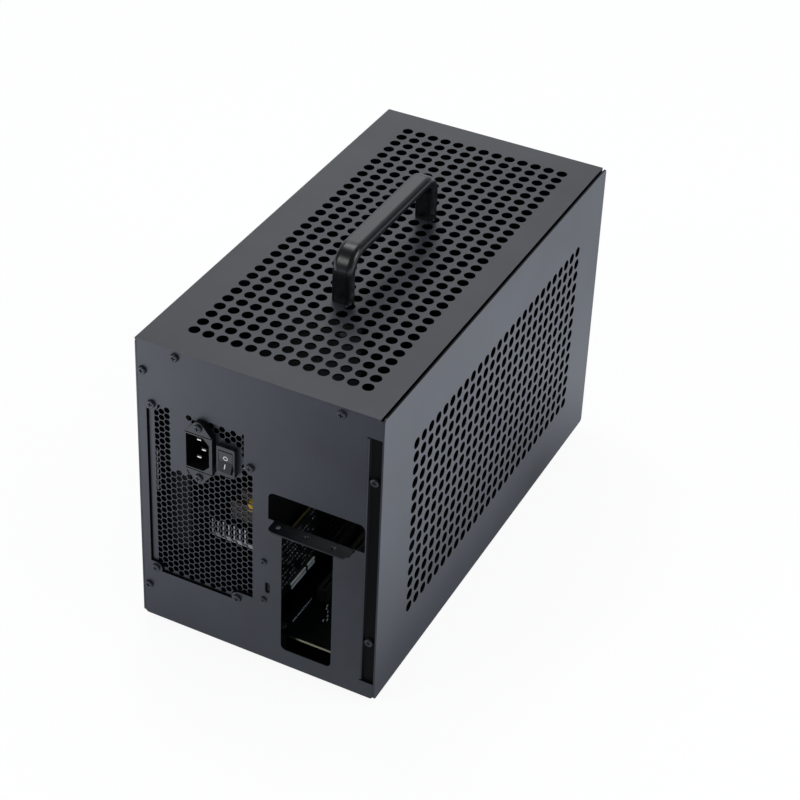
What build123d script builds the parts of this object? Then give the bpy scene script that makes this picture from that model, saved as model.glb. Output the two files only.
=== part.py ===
from build123d import *
import math
import os

# Case: outer size without the handle, sheet thickness and inner bend radius
width = 180.0
depth = 355.0
height = 235.0
sheet = 1.2
bend = 1.2
foot_height = 5.4
panel_bottom = 5.0
floor_lip = 10.0
wall_corner = 2.5
play = 0.05

# Fasteners: radius of shank and head, head height, and the hole around a shank
screw_radius = 1.5
screw_head_radius = 3.0
screw_head = 1.8
screw_hole = 1.65
screw_length = 7.0
small_screw_radius = 1.25
small_screw_head_radius = 2.3
small_screw_head = 1.3
small_screw_hole = 1.4

# Card shelf, welded behind the rear wall, and the opening for a card's bracket above and below it
shelf_reach = 10.5
shelf_leg = 6.6
shelf_side_gap = 0.4
shelf_gap = 0.3
shelf_top = 126.3
shelf_x = (13.1, 71.6)
shelf_corner = 4.0
shelf_hole_radius = 1.75
shelf_hole_pitch = 20.32
shelf_hole_count = 3
shelf_first_hole_x = 18.5
shelf_hole_out = 4.4
upper_opening_x = (8.6, 79.2)
upper_opening_top = 148.6
upper_opening_corner = 4.5
lower_opening_x = (18.7, 56.7)
lower_opening_bottom = 18.6
lower_opening_corner = 4.0

# The origin is at table height, in the middle of everything that sticks out
left = -width / 2
right = width / 2
rear = -depth / 2 + (shelf_reach - screw_head) / 2
front = rear + depth
wall_inside = rear + sheet
floor_top = foot_height + sheet
wall_top = height - sheet - play
chassis_x = (left + sheet + 0.2, right - sheet - 1.8)

# Strip along the rear wall's right edge, set inwards for the right panel's screws
strip_gap = 0.6
strip_x = (78.2, right - sheet - strip_gap)
strip_root = 1.2
strip_bend = 0.6
strip_z = (18.8, 218.0)
strip_step = 1.6
strip_relief = 1.1

# Panel screws, as places on the rear wall and the front wall
top_screw_x = 60.3
top_screw_z = 229.5
left_screw_x = -84.9
left_screw_z = (31.5, 211.4)
right_screw_x = 84.1
right_screw_z = (52.5, 184.9)
clip_width = 12.0
clip_legs = (10.0, 12.0)
clip_sheet = 1.5
clip_bend = 0.8

# Perforation of the panels
hole_pitch = 10.5
hole_radius = 4.0
top_holes = (13, 30)
top_grid_centre = (1.5, rear + 178.5)
side_holes = (26, 14)
side_grid_centre = (rear + 178.5, 119.0)
fan_holes = (11, 11)
panel_corner = 2.5

# Handle, a bent bar on two posts
handle_x = 5.0
handle_post_y = (rear + 104.0, rear + 226.5)
handle_height = 39.0
handle_width = 15.5
handle_thickness = 9.0
handle_bend = 18.0
handle_edge = 4.2
handle_screw_radius = 2.0
handle_screw_length = 11.0
handle_screw_head_radius = 4.6
handle_screw_head = 2.4
handle_thread_depth = 12.0

# Feet
foot_radius = 9.0
foot_rim = 1.2
foot_inset = 24.0

# Power supply: a 150 by 86 by 140 mm unit that stands on its side behind a gasket
gasket = 0.6
gasket_lip = 0.7
psu_sheet = 0.8
psu_bend = 0.8
psu_case_inset = 0.9
psu_x = (-84.8, 1.2)
psu_z = (42.7, 192.7)
psu_rear = wall_inside + gasket
psu_front = psu_rear + 140.0
psu_hole_offsets = ((6.0, 6.0), (6.0, 144.0), (70.0, 6.0), (80.0, 120.0))
psu_screw_radius = 1.7
psu_screw_length = 6.0
psu_screw_head_radius = 3.0
psu_holes = [(psu_x[0] + a, psu_z[0] + b) for a, b in psu_hole_offsets]
cutout_x = (-82.8, -3.0)
cutout_z = (46.6, 187.9)
cutout_ear = 4.6
cutout_ledge_z = 54.0
face_margin = psu_sheet + psu_case_inset
cover_screw_inset = 5.0
cover_screw_ends = 20.0

# Honeycomb of the power supply's rear face
cell_pitch = 4.8
cell_width = 4.15
cell_first_x = -76.5
cell_cut = 1.5
cell_columns = 18
cell_z = (49.6, 184.5)
cell_rib = 0.4
bare_x = (-67.9, -54.7)
bare_z = (137.5, 184.5)

# Mains inlet and switch in that face
inlet_centre = (-41.3, 163.0)
inlet_proud = 5.4
inlet_body = (20.4, 29.0)
inlet_inner = (20.0, 28.2)
inlet_mouth = (17.4, 26.4)
inlet_mouth_shift = -0.7
inlet_chamfer = 4.5
inlet_mouth_depth = 16.0
inlet_inside = 15.0
inlet_screw_pitch = 40.0
inlet_screw_head_radius = 2.9
inlet_screw_head = 1.5
inlet_ear = 4.5
inlet_groove = 0.7
pin_size = (4.0, 2.0)
pin_tip = 0.6
pin_recess = 4.5
pin_pitch = 14.0
line_pin_x = -2.2
earth_pin_x = 1.4
pin_tag = 4.0
switch_centre = (-21.9, 162.0)
switch_proud = 4.0
switch_frame_size = (13.5, 22.8)
switch_inner = (12.4, 21.0)
switch_mouth = (10.6, 17.4)
switch_inside = 14.0
switch_floor = 2.0
rocker_half = 7.4
rocker_width = 10.0
rocker_tilt = 8.0
rocker_rise = 1.2
rocker_valley = 0.2
rocker_foot = (5.0, 6.5)
rocker_edge = 2.0
pivot_depth = 4.0
pivot_radius = 1.2
pivot_reach = 0.5
pivot_play = 0.05

# Thickness of every circuit board
board = 1.6

# Fan behind the power supply's left side
fan_size = 120.0
fan_depth = 25.0
fan_bore = 57.5
fan_screw_pitch = 105.0
fan_y = psu_rear + 72.0
fan_z = sum(psu_z) / 2
fan_x = psu_x[0] + psu_sheet + play
rotor_radius = 55.0
rotor_hub = 20.0
rotor_length = 19.0
blade_count = 7
blade_chord = 30.0
blade_angle = 35.0
shaft_radius = 1.5
guard_sheet = 1.2
guard_rings = (16.0, 30.0, 44.0, 57.0)
guard_wire = 1.8
guard_arm = 2.4
guard_eye = 4.2
fan_screw_radius = 1.85
fan_screw_hole = 2.2
fan_screw_head_radius = 3.4
fan_screw_head = 1.4
fan_corner = 6.0
fan_base = 3.0
fan_strut = 5.0
fan_tube_radius = 4.0
fan_tube_start = 8.0
rotor_start = 2.0
rotor_shell = 2.5
rotor_edge = 2.0
rotor_shaft_length = 17.0
blade_thickness = 1.6

# Board inside the power supply, upright beside its right side, and what stands on it
psu_post = 6.0
psu_board_x = (psu_x[1] - psu_sheet - psu_post - board, psu_x[1] - psu_sheet - psu_post)
psu_board_y = (psu_rear + 6.0, psu_front - 6.0)
psu_board_z = (psu_z[0] + 6.0, psu_z[1] - 42.0)
psu_post_inset = 5.0
post_radius = 3.2
post_pin = 1.5
post_spigot = 2.0
sleeve_radius = 2.6
part_face = psu_board_x[0] - play
transformer_core = (30.0, 34.0, 14.0)
transformer_winding = (4.0, 25.0, 26.0, 30.0)
film_capacitor = (4.5, 6.0, 8.0)
film_capacitor_place = (psu_rear + 7.0, psu_z[0] + 75.5)
comb_z = (psu_z[0] + 18.0, psu_z[0] + 84.0)
comb_y = (psu_rear + 34.0, psu_rear + 100.0)
comb_reach = 49.0
comb_root = 22.0
comb_plate = 3.0
comb_fin = 1.2
comb_fin_height = 11.5
comb_fins = 7
choke_radii = (11.0, 5.0)
grommet_hole = 6.0
grommet_rim = 8.0

# Boards: the upright one behind the port, and the level one under the card
dock_x = 5.0
dock_y = (rear + 10.0, rear + 125.0)
dock_z = (40.0, 90.8)
dock_face = dock_x + board + play
dock_tongue_z = (59.0, 76.0)
port_z = 67.5
port_size = (3.26, 8.94)
port_length = 8.3
port_gap = 0.3
port_wall = 0.32
port_tongue = (0.7, 6.6)
port_screw_x = 5.3
port_screw_z = (56.2, 88.9)
arm_x = 1.8
arm_z = (48.0, 95.0)
arm_top = 86.0
arm_length = 115.0
arm_flange_x = 12.6
dock_hole_y = (rear + 20.0, rear + 107.0)
dock_hole_z = (53.0, 81.0)
dock_sink_y = (rear + 72.0, rear + 102.0)
dock_sink_z = (56.0, 86.0)
dock_sink_fins = 6
dock_sink_base = 3.0
dock_sink_height = 9.0
dock_sink_fin = 2.0
slot_board_top = shelf_top - 100.4
slot_board_x = (9.0, 62.0)
slot_board_y = (rear + 7.0, rear + 152.0)
slot_hole_x = (13.0, 57.0)
slot_hole_y = (rear + 13.0, rear + 146.0)
slot_x = 24.5
slot_y = (rear + 46.5, rear + 135.5)
slot_width = 7.5
slot_height = 11.25
slot_groove = (1.9, 8.5)
slot_key_y = (rear + 60.0, rear + 61.8)
slot_ear = 1.5
slot_ear_length = 7.0
slot_ear_height = 7.0
latch_axis_y = slot_y[1] + 3.5
latch_axis_z = slot_board_top + 4.0
latch_side_play = 0.2
link_x = 15.8
link_y = (rear + 88.0, rear + 119.0)
link_z = 44.0
link_socket_half = 2.6
link_socket_height = 4.0
ribbon = 0.6
ribbon_bend = 3.6
lead_radius = 2.5
lead_bend = 20.0
header_z = (72.0, 86.0)
header_length = 10.0
header_end = dock_y[1] - 2.0
header_height = 9.0
plug_length = 14.0


def block(x, y, z):
    """Box between low and high limits along each axis."""
    centre = [(low + high) / 2 for low, high in (x, y, z)]
    size = [high - low for low, high in (x, y, z)]
    return Pos(*centre) * Box(*size)


def rod(base, direction, length, radius):
    """Round bar from a base point."""
    bar = Cylinder(radius, length, align=(Align.CENTER, Align.CENTER, Align.MIN))
    return Plane(base, z_dir=direction) * bar


def rect(x, z):
    """Flat rectangle between limits."""
    return Pos(sum(x) / 2, sum(z) / 2) * Rectangle(x[1] - x[0], z[1] - z[0])


def upright(flat, y_low, y_high):
    """Extrudes a flat shape, drawn in X and Z, from one depth to another."""
    return extrude(Plane((0, y_high, 0), x_dir=(1, 0, 0), z_dir=(0, -1, 0)) * flat, y_high - y_low)


def sideways(flat, x_low, x_high):
    """Extrudes a flat shape, drawn in Y and Z, along X."""
    return extrude(Plane.YZ.offset(x_low) * flat, x_high - x_low)


def group(solids):
    """Like pieces kept as separate solids."""
    return Compound(children=list(solids))


def folded(points, thickness, radius):
    """Section of a bent sheet that lies to the left of a line of points."""
    line = [Vector(*p) for p in points]
    steps = [(b - a).normalized() for a, b in zip(line, line[1:])]
    normals = [Vector(-s.Y, s.X) for s in steps]
    inner = [line[0] + normals[0] * thickness]
    outer_radii = [0.0]
    inner_radii = [0.0]
    for corner, a, b in zip(line[1:-1], normals, normals[1:]):
        inner.append(corner + (a + b) * (thickness / (1 + a.dot(b))))
        turns_left = a.cross(b).Z > 0
        outer_radii.append(radius + thickness if turns_left else radius)
        inner_radii.append(radius if turns_left else radius + thickness)
    inner.append(line[-1] + normals[-1] * thickness)
    radii = outer_radii + [0.0, 0.0] + inner_radii[::-1]
    return make_face(FilletPolyline(*line, *reversed(inner), radius=radii, close=True))


def grid(counts, pitch, centre):
    """Centres of a square grid of holes."""
    return [
        (centre[0] + (i - (counts[0] - 1) / 2) * pitch, centre[1] + (j - (counts[1] - 1) / 2) * pitch)
        for i in range(counts[0])
        for j in range(counts[1])
    ]


def perforated(outline, holes, thickness, plane):
    """Flat sheet with round holes, each given as its place and radius."""
    wires = [Wire.make_circle(r, Plane((u, v, 0))) for u, v, r in holes]
    face = Face(outline.faces()[0].outer_wire(), wires)
    return plane * Solid.extrude(face, (0, 0, thickness))


def pan_screw(radius, length, head_radius, head):
    """Cross-head screw whose head stands on Z = 0 and whose shank points down."""
    shank = Pos(0, 0, -length / 2) * Cylinder(radius, length)
    top = Pos(0, 0, head / 2) * Cylinder(head_radius, head)
    top = fillet(top.edges().group_by(Axis.Z)[-1], head * 0.45)
    slot = Box(head_radius * 1.1, head_radius * 0.26, head)
    return shank + top - [Pos(0, 0, head) * Rot(0, 0, a) * slot for a in (0, 90)]


def case_screw():
    return pan_screw(screw_radius, screw_length, screw_head_radius, screw_head)


def small_screw(length):
    return pan_screw(small_screw_radius, length, small_screw_head_radius, small_screw_head)


def facing(x, y, z, direction):
    """Location that turns a screw's head to one of the six directions."""
    turns = {
        "-X": (0, -90, 0),
        "+X": (0, 90, 0),
        "-Y": (90, 0, 0),
        "+Y": (-90, 0, 0),
        "-Z": (180, 0, 0),
        "+Z": (0, 0, 0),
    }
    return Pos(x, y, z) * Rot(*turns[direction])


def psu_cutout(lip):
    """Opening over the power supply, with ears round its screws; a lip narrows it at the left and below."""
    lower_left, upper_left, lower_right, upper_right = psu_holes
    ear = cutout_ear + lip
    opening = rect((cutout_x[0] + lip, cutout_x[1]), (cutout_z[0] + lip, cutout_z[1]))
    for x, z in psu_holes:
        opening -= Pos(x, z) * Circle(ear)
    opening -= rect((cutout_x[0], lower_left[0]), (cutout_z[0], lower_left[1] + ear))
    opening -= rect((cutout_x[0], upper_left[0] + ear), (upper_left[1], cutout_z[1]))
    opening -= rect((cutout_x[0], upper_left[0]), (upper_left[1] - ear, cutout_z[1]))
    opening -= rect((lower_right[0], cutout_x[1]), (cutout_z[0], cutout_ledge_z + lip))
    opening -= rect((upper_right[0] - ear, cutout_x[1]), (upper_right[1], cutout_z[1]))
    opening -= rect((upper_right[0], cutout_x[1]), (upper_right[1] - ear, cutout_z[1]))
    return opening


def bracket_opening():
    """Wide opening above the shelf and a tall one below it, joined by a notch for the shelf's plate."""
    upper = rect(upper_opening_x, (shelf_top + shelf_gap, upper_opening_top))
    upper = fillet(upper.vertices().group_by(Axis.Y)[-1], upper_opening_corner)
    notch_x = (shelf_x[0] - shelf_side_gap, shelf_x[1] + shelf_side_gap)
    notch = rect(notch_x, (shelf_top - sheet - bend - play, shelf_top + 1))
    lower = rect(lower_opening_x, (lower_opening_bottom, shelf_top))
    lower = fillet(lower.vertices().group_by(Axis.Y)[0], lower_opening_corner)
    return upper + notch + lower


def port_slot(grow):
    """Outline of the data port, drawn upright."""
    wide, tall = (side + 2 * grow for side in port_size)
    return Pos(dock_x + board + port_size[0] / 2, port_z) * SlotOverall(tall, wide, rotation=90)


def card_shelf():
    """Plate for the card's bracket, with two short legs behind the wall and three screw holes."""
    back = wall_inside + play + sheet
    line = [(back, shelf_top - shelf_leg), (back, shelf_top), (rear - shelf_reach, shelf_top)]
    shelf = sideways(folded(line, sheet, bend), *shelf_x)
    tips = shelf.edges().filter_by(Axis.Z).group_by(Axis.Y)[0]
    shelf = fillet(tips, shelf_corner)
    low, high = lower_opening_x
    leg_z = (shelf_top - shelf_leg - 1, shelf_top - sheet - bend)
    shelf -= block((low - shelf_side_gap, high + shelf_side_gap), (wall_inside, back + 1), leg_z)
    for i in range(shelf_hole_count):
        place = (shelf_first_hole_x + i * shelf_hole_pitch, rear - shelf_hole_out, shelf_top - 2 * sheet)
        shelf -= rod(place, (0, 0, 1), 3 * sheet, shelf_hole_radius)
    return shelf


def strip():
    """Strip set inwards by a sloping step, for the right panel's rear screws."""
    low, high = strip_x
    bend_start = low + strip_root
    inward = rear + strip_step
    points = [(low, rear), (bend_start, rear), (bend_start + strip_step, inward), (high, inward)]
    section = folded(points, sheet, strip_bend)
    return Pos(0, 0, strip_z[0]) * extrude(section, strip_z[1] - strip_z[0])


def chassis():
    """Floor and front wall in one folded sheet, with a low lip welded to the rear wall."""
    back = wall_inside + play
    line = [(back, foot_height + floor_lip), (back, foot_height), (front, foot_height), (front, wall_top)]
    body = sideways(folded(line, sheet, bend), *chassis_x)
    screws = [rod((x, front - 6, z), (0, 1, 0), 8, screw_hole) for x, z in panel_screw_places()]
    spigots = [rod((x, y, foot_height - 1), (0, 0, 1), 4, post_spigot + 0.1) for x, y in slot_hole_places()]
    return body - screws - spigots


def rear_wall():
    """Flat pierced rear wall with the strip for the right panel's screws."""
    outline = rect((chassis_x[0], right - sheet - play), (panel_bottom, wall_top))
    outline = fillet(outline.vertices().group_by(Axis.Y)[0], wall_corner)
    wall = upright(outline, rear, wall_inside)
    through = (rear - 1, wall_inside + 1)
    wall -= upright(psu_cutout(0.0), *through)
    wall -= block((strip_x[0], right), through, (strip_z[0] - strip_relief, strip_z[1] + strip_relief))
    wall += strip()
    wall -= upright(bracket_opening(), *through)
    wall -= upright(port_slot(port_gap), *through)
    holes = [(x, z, screw_hole) for x, z in panel_screw_places()]
    holes += [(x, z, psu_screw_radius + 0.2) for x, z in psu_holes]
    holes += [(port_screw_x, z, small_screw_hole) for z in port_screw_z]
    holes += [(right_screw_x, z, screw_hole) for z in right_screw_z]
    return wall - [rod((x, rear - 1, z), (0, 1, 0), 6, r) for x, z, r in holes]


def panel_screw_places():
    """Screws of the top panel and the left panel, alike on the rear wall and the front wall."""
    places = [(side * top_screw_x, top_screw_z) for side in (-1, 1)]
    return places + [(left_screw_x, z) for z in left_screw_z]


def top_panel():
    """Flat perforated sheet that lies over the walls, with two holes for the handle's screws."""
    outline = rect((left, chassis_x[1]), (rear, front))
    posts = [(handle_x, y) for y in handle_post_y]
    clear = hole_radius + handle_screw_radius + 0.8
    holes = [
        (u, v, hole_radius)
        for u, v in grid(top_holes, hole_pitch, top_grid_centre)
        if min(math.dist((u, v), post) for post in posts) > clear
    ]
    holes += [(x, y, handle_screw_radius + 0.2) for x, y in posts]
    return perforated(outline, holes, sheet, Plane.XY.offset(height - sheet))


def side_panel(x, top, counts, centre):
    """Flat side sheet with rounded corners and a field of holes."""
    size = (depth, top - panel_bottom)
    outline = Pos((rear + front) / 2, panel_bottom + size[1] / 2) * RectangleRounded(*size, panel_corner)
    holes = [(u, v, hole_radius) for u, v in grid(counts, hole_pitch, centre)]
    return perforated(outline, holes, sheet, Plane.YZ.offset(x))


def angle_clip():
    """Small angle: one leg lies under Z = 0, the other hangs down with its outer face at Y = 0."""
    section = folded([(clip_legs[0], 0), (0, 0), (0, -clip_legs[1])], clip_sheet, clip_bend)
    return sideways(section, -clip_width / 2, clip_width / 2)


def panel_clips(places, walls, turn):
    """Angles behind the walls, drilled for the panel screws."""
    clips = []
    for (x, z), (y, inward) in ((p, w) for p in places for w in walls):
        clips.append(Pos(x, y, z) * Rot(0, turn, 0) * Rot(0, 0, 0 if inward > 0 else 180) * angle_clip())
    return clips


def top_panel_clips():
    walls = ((wall_inside + play, 1), (front - sheet - play, -1))
    clips = panel_clips([(x, height - sheet - play) for x in (-top_screw_x, top_screw_x)], walls, 0)
    return group(drilled(clips, [(x, top_screw_z) for x in (-top_screw_x, top_screw_x)]))


def left_panel_clips():
    walls = ((wall_inside + play, 1), (front - sheet - play, -1))
    clips = panel_clips([(left + sheet + play, z) for z in left_screw_z], walls, -90)
    return group(drilled(clips, [(left_screw_x, z) for z in left_screw_z]))


def right_panel_clips():
    """Two screwed angles behind the strip, and two hooks behind the front wall."""
    at_strip = ((rear + strip_step + sheet + play, 1),)
    at_front = ((front - sheet - play, -1),)
    places = [(right - sheet - play, z) for z in right_screw_z]
    screwed = drilled(panel_clips(places, at_strip, 90), [(right_screw_x, z) for z in right_screw_z])
    return group(screwed + panel_clips(places, at_front, 90))


def drilled(clips, places):
    """Clips with a screw hole through their upright legs."""
    bits = [rod((x, rear, z), (0, 1, 0), depth, screw_hole) for x, z in places]
    return [(clip - bits).solid() for clip in clips]


def rear_panel_screws():
    places = [(x, rear, z) for x, z in panel_screw_places()]
    places += [(right_screw_x, rear + strip_step, z) for z in right_screw_z]
    return group(facing(*p, "-Y") * case_screw() for p in places)


def front_panel_screws():
    return group(facing(x, front, z, "+Y") * case_screw() for x, z in panel_screw_places())


def carry_handle():
    """Bar bent down at both ends, rounded all along, with a screw hole in each foot."""
    half = handle_thickness / 2
    low, high = handle_post_y
    points = [(high - half, height), (high - half, height + handle_height - handle_thickness)]
    points += [(low + half, height + handle_height - handle_thickness), (low + half, height)]
    section = folded(points[::-1], handle_thickness, handle_bend - handle_thickness)
    bar = sideways(section, handle_x - handle_width / 2, handle_x + handle_width / 2)
    faces = bar.faces().sort_by(Axis.X)
    rims = [e for face in (faces[0], faces[-1]) for e in face.edges() if e.center().Z > height + 1]
    bar = fillet(rims, handle_edge)
    for y in handle_post_y:
        bar -= rod((handle_x, y, height), (0, 0, 1), handle_thread_depth, handle_screw_radius + play)
    return bar


def handle_screws():
    screw = pan_screw(handle_screw_radius, handle_screw_length, handle_screw_head_radius, handle_screw_head)
    return group(facing(handle_x, y, height - sheet, "-Z") * screw for y in handle_post_y)


def rubber_feet():
    """Four stuck-on feet with a rounded rim."""
    disc = Pos(0, 0, foot_height / 2) * Cylinder(foot_radius, foot_height)
    disc = fillet(disc.edges().group_by(Axis.Z)[0], foot_rim)
    xs = (left + foot_inset, right - foot_inset)
    ys = (rear + foot_inset, front - foot_inset)
    return group(Pos(x, y, 0) * disc for x in xs for y in ys)


def psu_gasket():
    """Foam seal between the wall and the power supply, a little narrower inside than the wall's opening."""
    seal = rect((psu_x[0] + 1, psu_x[1] - 1), (psu_z[0] + 1, psu_z[1] - 1)) - psu_cutout(gasket_lip)
    for x, z in psu_holes:
        seal -= Pos(x, z) * Circle(psu_screw_radius + 0.3)
    return upright(seal, wall_inside + play, psu_rear - play)


def psu_mount_screws():
    screw = pan_screw(psu_screw_radius, psu_screw_length, psu_screw_head_radius, screw_head)
    return group(facing(x, rear, z, "-Y") * screw for x, z in psu_holes)


def inlet_outline():
    """Flange of the mains inlet: a block with two pointed ears."""
    shape = Rectangle(*inlet_body)
    for side in (-1, 1):
        shape += Pos(0, side * inlet_screw_pitch / 2) * Circle(inlet_ear)
    return Pos(*inlet_centre) * make_hull(shape.edges())


def inlet_screw_places():
    return [(inlet_centre[0], inlet_centre[1] + side * inlet_screw_pitch / 2) for side in (-1, 1)]


def cell_is_clear(x, z):
    """True where the honeycomb may be pierced: off the bare field, the screws and the two windows."""
    if bare_x[0] < x < bare_x[1] and bare_z[0] < z < bare_z[1]:
        return False
    keep = cell_width / math.sqrt(3) + cell_rib
    if min(math.dist((x, z), hole) for hole in psu_holes) < keep + psu_screw_head_radius:
        return False
    if min(math.dist((x, z), hole) for hole in inlet_screw_places()) < keep + screw_hole:
        return False
    for centre, size in ((inlet_centre, inlet_inner), (switch_centre, switch_inner)):
        if abs(x - centre[0]) < size[0] / 2 + keep and abs(z - centre[1]) < size[1] / 2 + keep:
            return False
    return True


def honeycomb_cells():
    """Six-sided holes in staggered columns, the first column cut straight at the field's edge."""
    radius = cell_width / math.sqrt(3)
    angles = [math.radians(60 * i) for i in range(6)]
    column_step = cell_pitch * math.sqrt(3) / 2
    cells = []
    for column in range(cell_columns):
        x = cell_first_x + column * column_step
        z = cell_z[0] + (column % 2) * cell_pitch / 2
        while z < cell_z[1]:
            if cell_is_clear(x, z):
                corners = [(x + radius * math.cos(a), z + radius * math.sin(a)) for a in angles]
                cells.append([(max(u, cell_first_x - cell_cut), v) for u, v in corners])
            z += cell_pitch
    return cells


def psu_face():
    """Pierced rear face of the power supply, drawn in X and Z."""
    face_x = (psu_x[0] + face_margin, psu_x[1] - face_margin)
    outline = rect(face_x, (psu_z[0] + psu_case_inset, psu_z[1] - psu_case_inset))
    wires = [Wire.make_polygon([Vector(u, v) for u, v in cell]) for cell in honeycomb_cells()]
    wires += [Wire.make_circle(psu_screw_radius + play, Plane((x, z, 0))) for x, z in psu_holes]
    wires += [Wire.make_circle(screw_hole, Plane((x, z, 0))) for x, z in inlet_screw_places()]
    for centre, size in ((inlet_centre, inlet_inner), (switch_centre, switch_inner)):
        window = Pos(*centre) * Rectangle(size[0] + 2 * play, size[1] + 2 * play)
        wires.append(window.faces()[0].outer_wire())
    face = Face(outline.faces()[0].outer_wire(), wires)
    plane = Plane((0, psu_rear + psu_sheet, 0), x_dir=(1, 0, 0), z_dir=(0, -1, 0))
    return plane * Solid.extrude(face, (0, 0, psu_sheet))


def psu_case():
    """Pierced rear face, right side and front of the power supply, folded from one sheet."""
    ends = (psu_x[0] + face_margin, psu_x[1])
    low, high = psu_z[0] + psu_case_inset, psu_z[1] - psu_case_inset
    line = [(ends[0], psu_rear), (ends[1], psu_rear), (ends[1], psu_front), (ends[0], psu_front)]
    shell = Pos(0, 0, low) * extrude(folded(line, psu_sheet, psu_bend), high - low)
    shell -= block((psu_x[0], psu_x[1] - face_margin), (psu_rear - 1, psu_rear + 2), psu_z)
    shell += psu_face()
    flange_x = (psu_x[1] - 9.0, psu_x[1] - psu_sheet / 2)
    flange_y = (psu_rear + 6.0, psu_front - 6.0)
    thread = small_screw_radius + play
    for z in (low, high - psu_sheet):
        flange = block(flange_x, flange_y, (z, z + psu_sheet))
        shell += flange - [rod((x, y, z - 1), (0, 0, 1), 3, thread) for x, y in cover_screw_places()]
    x, z = grommet_place()
    return shell - rod((x, psu_front - 2, z), (0, 1, 0), 4, grommet_hole)


def cover_screw_places():
    ys = (psu_rear + cover_screw_ends, psu_front - cover_screw_ends)
    return [(psu_x[1] - cover_screw_inset, y) for y in ys]


def grommet_place():
    """Where the lead leaves the power supply's front, in X and Z."""
    return (dock_face + header_height / 2 - 2 * lead_bend, sum(header_z) / 2)


def psu_cover():
    """Left side, top and bottom of the power supply in one sheet, with the fan's opening."""
    line = [(psu_x[1], psu_z[1]), (psu_x[0], psu_z[1]), (psu_x[0], psu_z[0]), (psu_x[1], psu_z[0])]
    cover = upright(folded(line, psu_sheet, psu_bend), psu_rear, psu_front)
    cover -= rod((psu_x[0] - 1, fan_y, fan_z), (1, 0, 0), 4, fan_bore)
    cover -= [rod((psu_x[0] - 1, y, z), (1, 0, 0), 4, fan_screw_hole) for y, z in fan_screw_places()]
    for z in (psu_z[0] - 1, psu_z[1] - 2):
        cover -= [rod((x, y, z), (0, 0, 1), 3, small_screw_hole) for x, y in cover_screw_places()]
    return cover


def psu_cover_screws():
    screw = small_screw(4.0)
    lower = [facing(x, y, psu_z[0], "-Z") * screw for x, y in cover_screw_places()]
    upper = [facing(x, y, psu_z[1], "+Z") * screw for x, y in cover_screw_places()]
    return group(lower + upper)


def fan_screw_places():
    half = fan_screw_pitch / 2
    return [(fan_y + a * half, fan_z + b * half) for a in (-1, 1) for b in (-1, 1)]


def psu_fan_frame():
    """Square frame with a round duct, and a motor base on four struts."""
    centre = Pos(fan_y, fan_z)
    duct = centre * RectangleRounded(fan_size, fan_size, fan_corner) - centre * Circle(fan_bore)
    frame = sideways(duct, fan_x, fan_x + fan_depth)
    base = Circle(rotor_hub + 1)
    for angle in (0, 90):
        base += Rot(0, 0, angle) * Rectangle(2 * fan_bore + 2, fan_strut)
    base_start = fan_x + fan_depth - fan_base
    frame += sideways(centre * (base & Circle(fan_bore + 1)), base_start, fan_x + fan_depth)
    tube = (fan_x + fan_tube_start, fan_y, fan_z)
    bore = fan_depth - fan_tube_start - fan_base
    frame += rod(tube, (1, 0, 0), bore + 1, fan_tube_radius)
    frame -= rod(tube, (1, 0, 0), bore - 1, shaft_radius + pivot_play)
    thread = fan_screw_radius + play
    return frame - [rod((fan_x - 1, y, z), (1, 0, 0), 11, thread) for y, z in fan_screw_places()]


def psu_fan_rotor():
    """Cup-shaped hub on a shaft, with a ring of slanted blades."""
    start = (fan_x + rotor_start, fan_y, fan_z)
    inside = (fan_x + rotor_start + rotor_shell, fan_y, fan_z)
    hub = rod(start, (1, 0, 0), rotor_length, rotor_hub)
    hub = fillet(hub.edges().group_by(Axis.X)[0], rotor_edge)
    hub -= rod(inside, (1, 0, 0), rotor_length, rotor_hub - rotor_shell)
    hub += rod(start, (1, 0, 0), rotor_shaft_length, shaft_radius)
    reach = rotor_radius - rotor_hub + rotor_shell
    plate = Rot(0, 0, blade_angle) * Box(blade_thickness, blade_chord, reach)
    middle = (fan_x + rotor_start + rotor_length / 2, fan_y, fan_z + rotor_radius - reach / 2)
    blade = Pos(*middle) * plate & rod(start, (1, 0, 0), rotor_length, rotor_radius)
    blade -= rod(inside, (1, 0, 0), rotor_length, rotor_hub - rotor_shell / 2)
    axis = Axis((0, fan_y, fan_z), (1, 0, 0))
    return hub + [blade.rotate(axis, i * 360 / blade_count) for i in range(blade_count)]


def psu_fan_guard():
    """Stamped finger guard: four rings on four arms that end in screw eyes."""
    half = fan_screw_pitch / 2
    corners = [(a * half, b * half) for a in (-1, 1) for b in (-1, 1)]
    arm = Rectangle(2 * math.sqrt(2) * half, guard_arm)
    shape = Rot(0, 0, 45) * arm + Rot(0, 0, -45) * arm
    shape -= Circle(guard_rings[0] - guard_wire / 2)
    for radius in guard_rings:
        shape += Circle(radius) - Circle(radius - guard_wire)
    for corner in corners:
        shape += Pos(*corner) * Circle(guard_eye)
        shape -= Pos(*corner) * Circle(fan_screw_hole)
    return sideways(Pos(fan_y, fan_z) * shape, psu_x[0] - play - guard_sheet, psu_x[0] - play)


def psu_fan_screws():
    screw = pan_screw(fan_screw_radius, 9.0, fan_screw_head_radius, fan_screw_head)
    outside = psu_x[0] - play - guard_sheet
    return group(facing(outside, y, z, "-X") * screw for y, z in fan_screw_places())


def inlet_mouth_outline():
    """Opening of the inlet, with its two corners cut off towards the earth pin."""
    mouth = Rectangle(*inlet_mouth)
    corners = mouth.vertices().group_by(Axis.X)[-1]
    return Pos(inlet_centre[0] + inlet_mouth_shift, inlet_centre[1]) * chamfer(corners, inlet_chamfer)


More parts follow.
